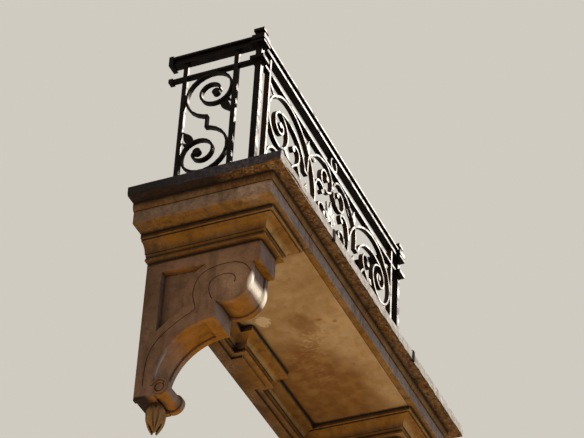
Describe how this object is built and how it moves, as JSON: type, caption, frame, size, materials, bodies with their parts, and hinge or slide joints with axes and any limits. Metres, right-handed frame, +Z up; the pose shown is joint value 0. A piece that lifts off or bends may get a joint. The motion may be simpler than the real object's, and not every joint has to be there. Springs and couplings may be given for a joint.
{
  "type": "wrought iron balcony",
  "caption": "Shallow window balcony: a moulded stone slab dressed in lead on two scrolled stone consoles, with a three-sided wrought iron scrollwork railing.",
  "frame": {"origin": "middle of the slab's back face, on the wall plane", "axes": "+X along the wall, +Y into the wall, +Z up"},
  "size_m": [2.37, 0.764, 2.224],
  "materials": {
    "stone": "weathered limestone with dark dirt in its creases",
    "plaster": "stained soffit",
    "lead": "dull weathered lead sheet",
    "iron": "worn black paint over wrought iron, rusting where it is bare"
  },
  "bodies": {
    "root": {"deck_slab": "stone", "nosing": "stone", "soffit_panel": "plaster", "lead_sheet": "lead", "lead_clips": "iron", "pad_left": "stone", "pad_right": "stone", "cap_left": "stone", "cap_right": "stone", "bed_mould": "stone", "console_block_left": "stone", "console_block_right": "stone", "console_left": "stone", "console_right": "stone", "leaf_drop_left": "stone", "leaf_drop_right": "stone", "post_left": "iron", "post_right": "iron", "handrail_front": "iron", "handrail_left": "iron", "handrail_right": "iron", "frieze_rail_front": "iron", "frieze_rail_left": "iron", "frieze_rail_right": "iron", "bottom_rails_front": "iron", "bottom_rails_left": "iron", "bottom_rails_right": "iron", "uprights_front": "iron", "uprights_left": "iron", "uprights_right": "iron", "scroll_left": "iron", "scroll_right": "iron", "scroll_centre": "iron", "scroll_side_left": "iron", "scroll_side_right": "iron", "rings": "iron", "wall_fixings": "iron"}
  },
  "joints": []
}
